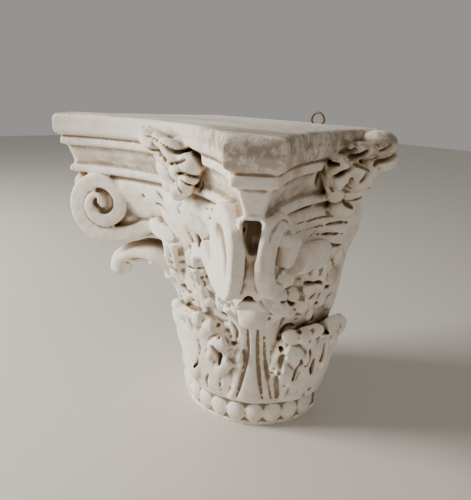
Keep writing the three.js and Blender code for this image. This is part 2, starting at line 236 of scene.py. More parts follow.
# %% [markdown]
# ## Leaves
#
# A leaf lies on a spine that climbs the bell and curls over. Thick fingers fan out over it from the foot,
# each ending in a rounded lobe, and the gaps between them are the leaf's grooves and eyes. That is also
# how a carver works: the lobes are set out first and the grooves are cut between them.

# %% Leaf builder
class Leaf:
    def __init__(self, turn, spine):
        self.turn = turn
        self.spine = np.array(spine, dtype=float)
        self.line = through(self.spine, 200)
        self.ahead = unit(np.gradient(self.line, axis=0))

    def at(self, s, shift, lift):
        """The place a share s along the spine, shifted sideways and lifted off the leaf."""
        row = np.clip(np.asarray(s) * 199, 0, 199)
        line = np.stack([np.interp(row, np.arange(200), self.line[:, i]) for i in (0, 1)], axis=-1)
        ahead = np.stack([np.interp(row, np.arange(200), self.ahead[:, i]) for i in (0, 1)], axis=-1)
        reach = line[..., 0] + ahead[..., 1] * lift
        rise = line[..., 1] - ahead[..., 0] * lift
        return around(self.turn + np.degrees(shift / np.maximum(reach, 60)), reach, rise)

    def sheet(self, widths, thickness, bulge=0.0, backing=14.0):
        """The leaf's blade: `widths` are its half widths along the spine. The backing fills in behind it."""
        s = np.linspace(0, 1, 50)
        half = through(np.reshape(widths, (-1, 1)), 50)[:, 0]
        a = np.linspace(0, 2 * np.pi, 40, endpoint=False)
        across, out = np.cos(a), np.sign(np.sin(a)) * np.abs(np.sin(a)) ** 0.6
        depth = np.where(out > 0, thickness, 0)
        rings = []
        for si, w in zip(s, half):
            thinned = (backing - thickness) * min(1, max(0, si - 0.55) / 0.25)
            inner = np.where(out > 0, 0, backing - thinned)
            lift = out * (depth + inner) + bulge * (1 - across**2)
            rings.append(self.at(np.full(40, si), across * w, lift))
        clay.skin(rings)

    def finger(self, stops, widths, depths, lift):
        """A raised finger along stops of (share of the spine, shift)."""
        path = through(stops, 24)
        lifts = through(np.reshape(lift, (-1, 1)), 24)[:, 0]
        places = self.at(path[:, 0], path[:, 1], lifts)
        beside = self.at(path[:, 0], path[:, 1] + 1.0, lifts)
        clay.bar(places, unit(beside - places), widths_at(widths, 24), widths_at(depths, 24), 24, 14)


def widths_at(values, count):
    return through(np.reshape(values, (-1, 1)), count)[:, 0]


# %% [markdown]
# The lower leaves stand under the middle of each face and nearly meet the corner stems. They are broad and
# soft, with round lobes at the border, a bulging middle lobe at the foot and slanting eyes.

# %% Lower leaves
def face_leaf(turn, spine, relief):
    """`relief` is how far the ribs stand out: less where the mould was worn."""
    leaf = Leaf(turn, spine)
    leaf.sheet([43, 46, 46, 45, 40, 29, 17, 8], 3.0, 3.0)
    leaf.finger([(0.3, 0), (0.45, 0), (0.6, 0), (0.8, 0)], [5, 6, 7, 8], [3, 4, 4, 4], [1.5, 2, 3, 3])
    for side in (-1, 1):
        leaf.finger([(0.0, side * 17), (0.14, side * 23), (0.28, side * 34), (0.34, side * 42)],
                    [5, 6, 7, 6], [3, 3, 4, 4.5], [relief, relief, relief + 1.5, 3])
        leaf.finger([(0.1, side * 10), (0.32, side * 19), (0.46, side * 32), (0.52, side * 41)],
                    [4, 6, 8, 7], [3, 3.5, 5, 5], [relief, relief, relief + 2, 3.5])
        leaf.finger([(0.3, side * 8), (0.5, side * 15), (0.64, side * 25), (0.68, side * 31)],
                    [4, 6, 7, 6.5], [3, 4, 5, 5], [relief, relief + 0.5, relief + 2, 3])
        leaf.finger([(0.45, side * 5), (0.65, side * 9), (0.76, side * 15), (0.8, side * 19)],
                    [4, 5, 6.5, 6], [3, 3.5, 4.5, 4.5], [relief, relief + 0.5, relief + 1.5, 2.5])


full_face_spine = [(70, 27), (72, 45), (74, 63), (77, 81), (79, 95), (82, 106), (85, 110), (86, 104)]
side_face_spine = [(71, 27), (75, 45), (79, 63), (83, 81), (86, 95), (89, 106), (92, 109), (93, 102)]
face_leaf(0, full_face_spine, 1.3)
face_leaf(90, side_face_spine, 2.4)
face_leaf(-90, full_face_spine, 0.6)

# %% [markdown]
# The tall leaves stand under the corners. Only a ribbed stem shows between the lower leaves, and above
# them the blade spreads and curls out to a hanging tip under the scrolls. The tip under the left corner
# reaches further out than the front one, which ends in a short broad lobe.

# %% Corner leaves
def corner_leaf(turn, spine, tip_half):
    leaf = Leaf(turn, spine)
    leaf.sheet([24, 21, 20, 22, 26, 26, 18, tip_half + 2, tip_half], 6.0, 1.0)
    leaf.finger([(0.0, 0), (0.15, 0), (0.3, 0), (0.5, 0), (0.95, 0)], [7.5, 4.5, 3, 4, 6],
                [2.5, 2.5, 2.5, 3, 4], [4.5, 4.5, 4.5, 4.5, 3])
    for side in (-1, 1):
        leaf.finger([(0.0, side * 18), (0.12, side * 12), (0.26, side * 8.5), (0.4, side * 12)],
                    [3.6, 3.0, 2.4, 4], [2.2, 2.2, 2.2, 3], [4.2, 4.5, 4.5, 3])
        leaf.finger([(0.3, side * 7), (0.42, side * 12), (0.5, side * 22)],
                    [4, 6, 7], [4, 5, 6], [2, 3, 3])
        leaf.finger([(0.42, side * 6), (0.55, side * 12), (0.64, side * 20)],
                    [4, 6, 7], [4, 5, 6], [2, 3, 2])
    return leaf


leaf = corner_leaf(45, [(69, 27), (71, 50), (73, 80), (78, 108), (88, 130), (99, 143), (111, 146),
                        (118, 138), (117, 126)], 10)
leaf.finger([(0.84, 0), (0.92, 0), (0.98, 0)], [10, 11, 9], [6, 6, 5], [0, 0, 0])
clay.blob(45, 119, 134, 0, (11, 6.5, 9.5))
leaf = corner_leaf(-45, [(69, 27), (70, 50), (71, 80), (76, 108), (87, 130), (104, 142), (124, 143),
                         (138, 133), (141, 117)], 9)
leaf.finger([(0.72, 0), (0.82, 0), (0.9, 0), (0.985, 0)], [9, 10, 11.5, 11], [8, 9, 11, 11], [0, 0, 0, 0])
leaf.finger([(0.58, 4), (0.7, 5), (0.84, 6)], [5, 6, 4], [6, 6, 4], [6, 8, 7])

# %% [markdown]
# ## Stalks and scrolls
#
# A fluted cup stands on each side of a face's middle. A flat band leaves it, arches over and runs under
# the corner of the abacus, where it rolls up round its eye. Two such scrolls meet at each corner.

# %% Scrolls
STALK_TURN = 12.0
TURN_STEPS = 24


def scroll(corner, hand, splay, tip, gap, eye_rise, outer, pitch, kept=1.75, half=5.5, screw=0.16,
           stalk=True):
    """One scroll of a corner's pair and its stalk. `hand` says on which side of the diagonal it lies."""
    splay = math.radians(splay)
    diagonal = around(corner, 1.0, 0.0)
    sideways = around(corner, 0.0, 0.0, 1.0)
    outward = diagonal * math.cos(splay) - sideways * hand * math.sin(splay)
    broad = sideways * hand * math.cos(splay) + diagonal * math.sin(splay)
    widest = outer - pitch / 4
    eye = diagonal * (tip - widest * math.cos(splay)) + sideways * hand * (gap + widest * math.sin(splay))
    eye[2] = eye_rise

    def rolled(turned, drawn_in, raised=0.0):
        reach = outer - pitch * turned - drawn_in
        spot = eye + outward * reach * math.sin(2 * math.pi * turned) + broad * raised
        spot[2] -= reach * math.cos(2 * math.pi * turned)
        return spot

    half_band = pitch / 2 - 0.3
    stops, widths, depths = [], [], []
    if stalk:
        mouth = corner + 45 * hand - hand * STALK_TURN
        stops = [around(mouth, 82, 150), around(mouth, 88, 168), around(mouth - hand * 12, 97, 176)]
        for run, drop in ((-50, 16), (-24, 27)):
            stop = eye + outward * run
            stop[2] -= drop
            stops.append(stop)
        widths, depths = [7, 7, 7, 6, half], [7, 7, 7, 6.5, 7.5]
    steps = round(TURN_STEPS * kept)
    for i in range(steps + 1):
        stops.append(rolled(i / TURN_STEPS, half_band, screw * i))
        widths.append(half)
        depths.append(half_band)
    clay.bar(stops, broad, widths, depths, 6 * len(stops), 24, 0.4)
    return eye, outward, broad, rolled


def web(eye, outward, broad, radius, low_side, high_side):
    """A round plate behind the roll, which closes the groove between its turns."""
    a = np.linspace(0, 2 * np.pi, 48, endpoint=False)[:, None]
    circle = outward * np.cos(a) + np.array([0, 0, 1.0]) * np.sin(a)
    clay.skin([eye + broad * level + circle * radius for level in (low_side, high_side)])


def groove(broad, rolled, shares, widths, drawn_in=-4.0, level=6.0, half=9):
    """A cut that follows the roll's outer edge, `level` above its middle."""
    stops = [rolled(t, drawn_in, level) for t in shares]
    knife.bar(stops, broad, [half] * len(stops), widths, 4 * len(stops), 12, 0.6)


eye, outward, broad, rolled = scroll(-45, 1, 8, 185, 6, 190, 38, 17.5)
web(eye, outward, broad, 22, -5, 3)
shares = np.linspace(0.44, 1.16, 16)
groove(broad, rolled, shares, np.interp(range(16), [0, 5, 11, 15], [2.2, 4.2, 3.2, 1.0]), 15.5, 8.0, 6)
shares = np.linspace(1.2, 1.7, 10)
groove(broad, rolled, shares, [1.0, 1.6, 2, 2, 2, 2, 2, 1.8, 1.4, 1.0], 16.5, 14.0, 6)
eye, outward, broad, rolled = scroll(-45, -1, 14, 185, 6, 190, 38, 17.5)
web(eye, outward, broad, 22, -5, 3)

# %% [markdown]
# At the front corner the pair is thin and stands apart, with a hole between the two rolls under the
# corner of the plate. The right roll is whole and winds outward like a snail. The left one has lost its
# inner turns: only the outer rim is left, with a flat break behind it.

# %% The front pair
eye, outward, broad, rolled = scroll(45, 1, 21, 187, 7.5, 199, 28, 13, 1.0, 4.2, 0, False)
web(eye, outward, broad, 27, -5.5, -0.5)
a = np.linspace(0, 2 * np.pi, 48, endpoint=False)[:, None]
recess = outward * np.cos(a) + np.array([0, 0, 1.0]) * np.sin(a)
knife.skin([eye + broad * level + recess * 17 for level in (-2.5, 14)])
coil_middle, coil_broad, coil_out = eye + outward * 5 + np.array([0, 0, 4.0]), broad, outward
clay.strand([(80, 88, 166), (72, 108, 181), (64, 132, 190), (58, 150, 193), (54, 158, 193)],
            [9, 10, 10, 10, 9], [6, 6, 6, 6, 5], 40, 0.8)
eye, outward, broad, rolled = scroll(45, -1, 20, 187, 8, 199, 33, 10, 0.62, 3.2)
web(eye, outward, broad, 31, -5, 3.5)
keel = []
for rise, reach, left, right in ((204, 181, -6, 7), (188, 179, -7, 7), (171, 171, -8, 6)):
    sides = np.array([right + 22, left - 14, left, right])
    keel.append(around(45, np.array([138, 138, reach, reach]), rise, sides))
clay.skin(keel)
clay.blob(45, 174, 192.5, 0, (2.6, 2.6, 2.4))
knife.strand([(44.8, 184, 225), (44.8, 184, 213), (45.2, 182, 203)], [6, 5, 2.2], [17, 16, 12], 20, 0.6)
knife.strand([(44.6, 168, 176), (44.7, 166, 168)], [2.5, 6], [6, 12])
clay.blob(46, 163, 210, 0, (4, 3, 5), 10)
knife.blob(49.4, 180, 226, 0, (3.2, 7, 2))
knife.blob(59.2, 139, 181, 0, (4.2, 14, 2.0))

# %% [markdown]
# Two stalks rise from each cup. The cup is short and thick, set deep between the leaves, with a double
# collar at its mouth.

# %% Cups
def stalk_cup(turn):
    foot, mouth = around(turn, 72, 108), around(turn, 88, 172)
    lean = unit(mouth - foot)
    side = unit(np.cross(lean, around(turn, 1.0, 0.0)))
    front = np.cross(side, lean)
    profile = [
        (0, 7), (22, 9), (38, 9.5), (42, 13.2), (45.5, 13.8), (47.5, 12.4), (50, 14.2), (54, 13), (64, 12),
    ]
    a = np.linspace(0, 2 * np.pi, 48, endpoint=False)[:, None]
    flutes = 1 + 0.07 * np.cos(9 * a)
    rings = [foot + lean * rise + (side * np.cos(a) + front * np.sin(a)) * reach * flutes
             for rise, reach in profile]
    clay.skin(rings)


for turn in (STALK_TURN, -STALK_TURN, 90 - STALK_TURN, STALK_TURN - 90):
    stalk_cup(turn)

# %% [markdown]
# Between the two scrolls of a corner the casting is solid, so a wedge fills the space behind them.

# %% Wedges between the scrolls of a corner
for corner in (45, -45):
    rings = []
    for rise, back in ((160, 16), (176, 6), (200, 2)):
        reach = np.array([60, 110, 160.0]) - back
        half = np.array([38, 20, 5.0])
        rings.append(np.vstack([around(corner, reach, rise, half),
                                around(corner, reach[::-1], rise, -half[::-1])]))
    clay.skin(rings)

# %% [markdown]
# ## Flowers
#
# A sprig of leaves and buds hangs over the edge of the plate on each face, from the middle towards the
# front corner. On the right face it is larger, and its outer curl rounds off the edge of the plate.

# %% Sprigs
full_face_sprig = [
    (-9, 112, 256, (17, 8, 7), 20), (0, 111, 258, (11, 7, 6), 24), (9, 113, 252, (15, 8, 7), 30),
    (4, 109, 245, (13, 8, 6), 25), (18.5, 114, 245, (11, 9, 7.5), 14), (18, 112, 236, (7, 8, 9), 24),
    (14, 109, 227, (6.5, 8, 9), 12), (9, 107, 221, (6, 8, 8), -12), (0, 106, 236, (13, 7, 8), 12),
    (2, 104, 225, (10, 7, 8), 0), (-4, 106, 246, (10, 6, 5), 0), (10, 108, 238, (9, 8, 9), 20),
]
right_face_sprig = [
    (93, 114, 263, (15, 14, 10), 0), (97, 112, 251, (11, 15, 10), 0), (82, 117, 259, (14, 11, 6.5), 4),
    (75, 118, 250, (13, 9, 6), 20), (71.8, 115, 238, (9.5, 9, 10.5), 15),
    (80.5, 118, 240, (13, 11, 10.5), 0),
    (86, 108, 228, (14, 10, 9), 0), (75.5, 108, 227, (7, 7, 7), 0), (88, 110, 244, (14, 10, 10), 0),
    (84, 100, 214, (12, 9, 9), 0), (78, 108, 248, (12, 8, 10), 0),
]
for sprig, middle_turn in ((full_face_sprig, 0), (full_face_sprig, -90), (right_face_sprig, 0)):
    for turn, reach, rise, size, tilt in sprig:
        clay.blob(middle_turn + turn, reach, rise, 0, size, tilt)
for stops, widths, depths in [
    ([(13.5, 119, 258), (17, 119, 254.5), (21, 118, 252)], [1.0, 2.6, 1.6], [4, 8, 5]),
    ([(12, 122, 247), (15, 122, 246.5)], [1.0, 0.8], [4, 3]),
    ([(21, 120, 240), (23, 120, 236), (20.5, 119, 231)], [1.0, 2.0, 1.6], [4, 8, 6]),
    ([(-6, 121, 248), (0, 121, 247), (7, 120, 242)], [0.8, 1.2, 0.8], [3, 3, 3]),
    ([(2, 121, 254), (5, 121, 251), (8, 120, 246)], [0.8, 1.1, 0.8], [3, 3, 3]),
    ([(-9, 121, 262), (-4, 121, 259), (1, 121, 255)], [0.7, 1.0, 0.7], [2.5, 3, 2.5]),
    ([(5, 118, 233), (8, 118, 229), (8, 116, 222)], [0.8, 1.1, 0.8], [3, 4, 3]),
    ([(14, 122, 240), (13, 121, 234)], [0.8, 1.0], [3, 4]),
    ([(69.5, 112, 250), (72, 114, 252), (75.5, 117, 257), (79, 118, 265)],
     [1.6, 2.6, 2.2, 1.0], [8, 10, 8, 5]),
    ([(67, 110, 247), (67.5, 110, 238), (69.5, 110, 229)], [1.2, 2.4, 1.6], [5, 9, 7]),
    ([(85.5, 128, 250), (88, 127, 248), (90.5, 125, 247)], [1.0, 2.2, 1.4], [5, 9, 6]),
    ([(76.4, 125, 244), (76.2, 123, 236), (78, 121, 230)], [0.7, 1.6, 2.0], [5, 9, 8]),
    ([(76, 128, 254), (81, 129, 252), (85, 129, 250)], [0.7, 1.0, 0.8], [3, 4, 3]),
    ([(81, 133, 245), (82.5, 132, 240)], [0.5, 0.5], [3, 3]),
]:
    knife.strand(stops, widths, depths)

# %% [markdown]
# ## From clay to casting
#
# The forms are melted into one body with a voxel remesh, cut flat below and behind, worn a little with a
# smoothing modifier and thinned with a decimate modifier.

# %% Melt, cut and thin
def box_cutter(lowest, highest):
    cutter = Clay()
    (x0, y0, z0), (x1, y1, z1) = lowest, highest
    cutter.skin([[(x0, y0, z), (x1, y0, z), (x1, y1, z), (x0, y1, z)] for z in (z0, z1)])
    return cutter.mesh("cutter")


def applied(obj):
    """The object with its modifiers applied, under the same name."""
    graph = bpy.context.evaluated_depsgraph_get()
    mesh = bpy.data.meshes.new_from_object(obj.evaluated_get(graph))
    obj.modifiers.clear()
    old = obj.data
    obj.data = mesh
    bpy.data.meshes.remove(old)
    return obj


VOXEL = 1.05


def melted(obj):
    melt = obj.modifiers.new("melt", "REMESH")
    melt.mode = "VOXEL"
    melt.voxel_size = VOXEL * MM
    return applied(obj)


def joined(obj, other):
    with bpy.context.temp_override(active_object=obj, selected_editable_objects=[obj, other]):
        bpy.ops.object.join()
    return obj


def without(obj, cutter):
    cut = obj.modifiers.new("cut", "BOOLEAN")
    cut.operation, cut.solver, cut.object = "DIFFERENCE", "MANIFOLD", cutter
    applied(obj)
    bpy.data.objects.remove(cutter)


casting = melted(clay.mesh("plaster_capital"))
without(casting, melted(knife.mesh("knife")))
print("melted and cut:", len(casting.data.polygons), "faces")

# %% [markdown]
# Time and the mould have rounded some lobes into knobs and left eyes, pits and cracks of their own. They
# are set on the melted body: each is given as turn and rise, and a ray towards the axis finds the surface.

# %% Buds, eyes, cracks and pits
surface = BVHTree.FromObject(casting, bpy.context.evaluated_depsgraph_get())
BELL_REACH = 80.0  # stands in where a ray meets nothing


def surface_reach(turn, rise, beyond):
    start = Vector(around(turn, beyond, rise) * MM)
    hit = surface.ray_cast(start, Vector(around(turn, -1.0, 0.0)))[0]
    return math.hypot(hit.x, hit.y) / MM if hit else BELL_REACH


added = Clay()
fine_knife = Clay()

for stops, widths, depths in [
    (((-5, 2), (3, 2), (8, 2), (12, 1)), [6.2, 6.4, 6.6, 6.4], [9, 9.5, 10, 9.6]),
]:
    bend = [coil_middle + coil_broad * level + np.array([0, 0, rise]) for level, rise in stops]
    added.bar(bend, coil_out, widths, depths, 30, 20, 0.55)


def bud(turn, rise, half_width, half_height, proud, tilt=0, beyond=110):
    depth = max(4.0, proud)
    reach = surface_reach(turn, rise, beyond) + proud - depth
    added.blob(turn, reach, rise, 0, (half_width, depth, half_height), tilt)


def crack(path, width, depth, beyond=110):
    """A groove that follows the surface along a path of (turn, rise) and runs out at both ends."""
    line = through(path, 8 * len(path))
    reach = np.array([surface_reach(turn, rise, beyond) for turn, rise in line])
    even = np.convolve(np.pad(reach, 3, "edge"), np.full(7, 1 / 7), "valid")
    stops = [(turn, spot, rise) for (turn, rise), spot in zip(line, even)]
    fade = np.sin(np.linspace(0.15, np.pi - 0.15, len(stops))) ** 0.5
    fine_knife.strand(stops, np.maximum(1.3 * width * fade, 1.3), depth * (0.4 + 0.6 * fade), len(stops))


def pit(turn, rise, half_width, half_height, depth, beyond=110):
    fine_knife.blob(turn, surface_reach(turn, rise, beyond), rise, 0, (half_width, depth, half_height))


lower_leaf_buds = [
    (67.6, 101, 11, 7, 5, 12), (77.5, 78, 5, 9, 3.5, 25),
    (90, 106, 14, 9.5, 5.5, -12), (38, 78, 4, 8, 3, 10), (34, 91, 4, 4, 2.5, 0),
    (17.5, 72, 4.5, 8, 3, 15), (57.5, 65, 3, 3.5, 2, 0), (2.5, 46, 6.5, 9, 3.5, 0), (-6, 103, 9, 6, 3, -10),
    (9, 103, 6, 5, 2.5, 0), (28, 104, 5, 5, 2, 0), (80.5, 70, 2.5, 9, 2.5, 15), (72, 60, 3, 14, 2.5, 18),
    (68, 45, 3, 12, 1.5, 8), (93, 70, 4, 12, 3, 10), (97, 90, 6, 8, 3, 0),
]
middle_buds = [
    (-16, 141, 8, 10, 4, 0), (-8, 116, 6, 7, 3, 0), (20.5, 142, 6.5, 7, 5, 0), (29, 139, 6, 8, 4, 0),
    (3, 147, 5, 6, 3, 0), (7, 128, 4, 7, 2.5, 0), (26, 126, 7, 8, 4, 0), (38, 132, 7, 7, 4, 0),
    (16, 124, 5, 6, 2.5, 20), (-2, 122, 4, 6, 2, 0), (56, 134, 7, 7, 4, 0), (61, 128, 5, 7, 4, -20),
    (66, 138, 7, 7, 4, 0), (73, 146, 6, 6, 4, 0), (84, 144, 5, 7, 3, 0), (93, 148, 6, 8, 4, 0),
    (97, 122, 6, 8, 4, 0), (88, 128, 6, 7, 3, 0), (74, 126, 6, 7, 3, 20), (80, 118, 3, 9, 3, 10),
    (67, 119, 5, 5, 3, 0), (86, 160, 6, 5, 3, 0), (94, 168, 5, 8, 4, 0), (52, 122, 5, 6, 3, 20),
]
for turn, rise, half_width, half_height, proud, tilt in lower_leaf_buds + middle_buds:
    bud(turn, rise, half_width, half_height, proud, tilt)

cracks = [
    ([(19.5, 84), (22.0, 79), (23.6, 71), (23.4, 62)], 2.3, 8),
    ([(62.5, 97), (64.5, 103), (67.5, 106.5), (71, 105)], 1.9, 7),
    ([(63, 86), (62.3, 75), (61.2, 58)], 2.2, 4),
    ([(61.2, 58), (61.6, 44), (64.1, 30)], 3.2, 4), ([(84, 74), (84.5, 64), (86.4, 53)], 2.2, 11),
    ([(83, 113), (84.5, 108), (83.5, 101)], 2.0, 9), ([(87, 35), (92, 34)], 1.6, 6),
    ([(39.3, 84), (40.6, 75), (39.9, 64)], 1.4, 4), ([(31, 87), (33.5, 90), (36.5, 88)], 1.3, 4),
    ([(6, 62), (3, 51), (-1, 43)], 1.3, 3), ([(-1, 41), (0, 35), (4, 32), (8, 29)], 1.6, 4),
    ([(8, 84), (8.5, 74), (7, 64)], 1.2, 2.5), ([(82, 102), (86, 103), (89, 96)], 1.3, 4),
    ([(72.8, 80), (74.2, 72), (72.5, 63)], 1.4, 4), ([(31, 112), (34.5, 102), (35, 93)], 2.0, 3.5),
    ([(24, 116), (28, 114), (31, 110)], 1.6, 3.5), ([(78.5, 88), (79.5, 78), (78, 66)], 1.4, 4),
    ([(89, 90), (91, 78), (90, 66)], 1.6, 5), ([(69.5, 48), (72, 62), (75, 74)], 1.2, 3),
    ([(15, 50), (12, 40), (13, 31)], 1.5, 2.0), ([(24, 50), (23, 40), (25, 31)], 1.2, 1.6),
    ([(41.5, 112), (42, 80), (38.5, 50), (35, 29)], 1.9, 3.2),
    ([(47.4, 116), (48.3, 85), (50.5, 55), (53.5, 31)], 1.9, 3.4),
    ([(51.5, 100), (54, 70), (58, 45), (60, 30)], 1.9, 3.0),
    ([(17.5, 149), (20.5, 151.5), (24.5, 150), (25.5, 142)], 1.4, 5),
    ([(11, 151), (12, 144), (13, 137)], 1.2, 4),
    ([(15.8, 151), (15.8, 144), (15.5, 138)], 1.0, 3), ([(13.5, 186), (14.5, 180), (16.5, 176)], 2.0, 5),
    ([(7.5, 186), (8.5, 180), (8.5, 175)], 1.2, 4), ([(62, 134), (65, 131), (69, 129)], 1.8, 6),
    ([(82, 158), (84, 153), (86, 149)], 1.8, 7), ([(70, 150), (76, 152), (80, 150)], 1.5, 6),
    ([(-2, 157), (6, 156), (14, 157), (22, 160)], 1.0, 3), ([(56, 142), (60, 138), (63, 142)], 1.4, 5),
    ([(28, 132), (31, 146), (33, 150)], 1.6, 5), ([(-10, 128), (-4, 124), (2, 126)], 1.4, 4),
    ([(88, 138), (91, 140), (94, 137)], 1.5, 6), ([(76, 133), (79, 138), (80, 142)], 1.4, 5),
    ([(-20, 212), (-16, 206), (-10, 200)], 1.4, 3), ([(-28, 206), (-27, 202)], 1.6, 4),
    ([(-22, 200), (-14, 197), (-6, 192)], 1.8, 3), ([(4, 210), (2, 204), (4, 199)], 1.0, 2.5),
    ([(22, 211), (26, 212), (28, 214)], 0.9, 2.5), ([(24, 204), (27, 205)], 1.4, 2.5),
    ([(76, 200), (84, 201), (92, 199)], 1.2, 4), ([(72, 193), (80, 192), (90, 190)], 1.2, 4),
    ([(80, 184), (86, 180), (94, 178)], 1.4, 5), ([(58, 208), (68, 207), (80, 207)], 1.1, 2.4),
    ([(58, 200.5), (66, 200), (78, 200)], 1.0, 2.4), ([(54, 218.5), (62, 218.5), (70, 219)], 1.6, 7),
]
for path, width, depth in cracks:
    crack(path, width, depth, 125)
pits = [
    (62, 88, 2.2, 3.4, 8), (57.8, 62, 2.3, 2.4, 4), (85, 28, 2.6, 4.5, 10), (22.5, 103, 1.7, 2.8, 5),
    (27, 98, 1.5, 1.8, 4), (33, 87, 1.6, 2.2, 4), (37, 73, 1.3, 1.3, 3.5), (39.6, 64, 1.5, 2.2, 4),
    (24.5, 93, 1.5, 2.4, 4), (-6.5, 128, 2.5, 2.8, 5), (1, 117.5, 2, 2, 4), (30.5, 147, 1.5, 2.6, 4),
    (87, 169, 1.6, 1.8, 6), (78.2, 171, 1.5, 1.8, 6), (84, 126, 2, 2, 6), (101, 113, 3.5, 3.5, 9),
    (67, 128.5, 2.2, 2, 6), (72, 112, 1.6, 1.8, 4), (95, 106, 1.8, 3, 6), (75.5, 98, 1.6, 2.6, 4),
    (69, 86, 1.4, 2, 4), (59, 150, 2.2, 2.2, 6), (67, 263, 1.5, 1.5, 5), (53, 121, 1.6, 3, 5),
]
for turn, rise, half_width, half_height, depth in pits:
    pit(turn, rise, half_width, half_height, depth, 160)
sprig_cracks = [
    ([(-12, 261), (-5.6, 260.4), (6.9, 256.3)], 1.0, 4),
    ([(-9.9, 249.9), (3.2, 249.8), (6.8, 243.3)], 1.4, 6),
    ([(6.9, 256.3), (13.1, 251.9), (17.6, 255.5)], 1.4, 6),
    ([(7.9, 242.2), (15.0, 245.2), (19.4, 248.9)], 1.3, 5),
    ([(16.7, 255.3), (21.8, 250.7), (24.2, 243.0)], 1.7, 7),
    ([(11.1, 235.7), (17.7, 237.4), (22.7, 234.3)], 1.3, 6),
    ([(12.0, 228.7), (15.0, 220.8)], 1.2, 5), ([(5.6, 237.2), (7.8, 224.5)], 1.3, 5),
    ([(-3, 256), (1, 252), (3, 246)], 1.0, 4), ([(14, 233), (19, 228), (18, 222)], 1.3, 6),
    ([(73.1, 251.4), (77.7, 255.3), (80.7, 260.5)], 1.8, 9),
    ([(73.1, 251.4), (80.8, 248.2), (86.0, 243.5)], 1.5, 7),
    ([(69.2, 240.7), (73.5, 244.7), (75.5, 250.0)], 1.6, 8),
    ([(78.1, 237.4), (80.3, 242.7), (83.5, 249.4)], 1.3, 6),
    ([(88, 247), (93.4, 251.2), (99.8, 259.0)], 1.4, 6), ([(76.4, 237.5), (72.8, 229.4)], 1.5, 6),
    ([(67.4, 247.6), (68.6, 238.1), (73.0, 226.6)], 2.0, 7), ([(84, 236), (89, 232), (94, 236)], 1.5, 6),
    ([(82, 256), (88, 258), (92, 264)], 1.2, 5), ([(86, 225), (82, 219), (88, 213)], 1.6, 6),
]
for path, width, depth in sprig_cracks:
    crack(path, width, depth, 160)
tip_cracks = [([(49.6, 143), (50, 137), (49.3, 131)], 1.3, 6), ([(41.5, 144), (42, 142)], 1.8, 3)]
for path, width, depth in tip_cracks:
    crack(path, width, depth)

joined(casting, added.mesh("buds"))
melted(casting)
without(casting, melted(fine_knife.mesh("small_knife")))
melted(casting)
print("with buds and cuts:", len(casting.data.polygons), "faces")

worn = casting.modifiers.new("worn", "SMOOTH")
worn.factor, worn.iterations = 0.5, 1
applied(casting)

far = 2 * CORNER
without(casting, box_cutter((-far, BACK, -far), (far, far, 2 * HEIGHT)))
without(casting, box_cutter((-far, -far, -far), (far, far, 0)))
print("cut:", len(casting.data.polygons), "faces")

MOST_TRIANGLES = 190000
triangles = sum(len(face.vertices) - 2 for face in casting.data.polygons)
thin = casting.modifiers.new("thin", "DECIMATE")
thin.ratio = min(1.0, MOST_TRIANGLES / triangles)
applied(casting)
print("thinned:", len(casting.data.polygons), "faces")

# %% [markdown]
# The mesh must stay inside the solid's box, so points past it are moved onto it. True edges stay crisp.

# %% Keep inside the solid's box
places = np.empty(len(casting.data.vertices) * 3)
casting.data.vertices.foreach_get("co", places)
places = places.reshape(-1, 3)
places[:] = np.clip(places, low * MM, high * MM)
casting.data.vertices.foreach_set("co", places.ravel())
casting.data.update()
casting.data.shade_smooth()
casting.data.set_sharp_from_angle(angle=math.radians(55))

# %% [markdown]
# ## Where shade and dirt gather
#
# Rays from each point of the surface measure how open it is, and a comparison with a smoothed copy finds the
# creases. Both are stored on the mesh, and the plaster's colour paints shade, with some dust, into the
# hollows.

# %% Openness and creases
mesh = casting.data
count = len(mesh.vertices)
normals = np.empty(count * 3)
mesh.vertices.foreach_get("normal", normals)
normals = normals.reshape(-1, 3)
edges = np.empty(len(mesh.edges) * 2, dtype=int)
mesh.edges.foreach_get("vertices", edges)
edges = edges.reshape(-1, 2)
neighbours = np.bincount(edges.ravel(), minlength=count)[:, None]
smooth = places.copy()
for _ in range(6):
    total = np.zeros_like(smooth)
    np.add.at(total, edges[:, 0], smooth[edges[:, 1]])
    np.add.at(total, edges[:, 1], smooth[edges[:, 0]])
    smooth = 0.5 * smooth + 0.5 * total / neighbours
crease = np.einsum("ij,ij->i", smooth - places, normals) / MM

whole = BVHTree.FromObject(casting, bpy.context.evaluated_depsgraph_get())
RAYS = 12
FAR = 22 * MM
rng = np.random.default_rng(7)
golden = np.pi * (3 - math.sqrt(5))
level = 1 - (np.arange(RAYS) + 0.5) / RAYS
lift = np.sqrt(level)
flat = np.sqrt(1 - level)
aside = unit(np.cross(normals, np.where(np.abs(normals[:, 2:]) < 0.9, [[0, 0, 1.0]], [[1.0, 0, 0]])))
other = np.cross(normals, aside)
free = np.zeros(count)
starts = places + normals * 0.4 * MM
spin = rng.uniform(0, 2 * np.pi, count)
for k in range(RAYS):
    a = spin + golden * k
    directions = normals * lift[k] + (aside * np.cos(a)[:, None] + other * np.sin(a)[:, None]) * flat[k]
    for i, (start, direction) in enumerate(zip(starts.tolist(), directions.tolist())):
        distance = whole.ray_cast(start, direction, FAR)[3]
        free[i] += 1.0 if distance is None else distance / FAR
openness = free / RAYS
for _ in range(2):
    total = np.zeros(count)
    np.add.at(total, edges[:, 0], openness[edges[:, 1]])
    np.add.at(total, edges[:, 1], openness[edges[:, 0]])
    openness = 0.5 * openness + 0.5 * total / neighbours[:, 0]
on_back = places[:, 1] > (BACK - 0.05) * MM
openness[on_back] = 1.0
crease[on_back] = 0.0
for name, values in (("openness", openness), ("crease", crease)):
    layer = mesh.attributes.new(name, "FLOAT", "POINT")
    layer.data.foreach_set("value", values.astype(np.float32))
    print(name, "from %.2f to %.2f, middle %.2f" % (values.min(), values.max(), np.median(values)))
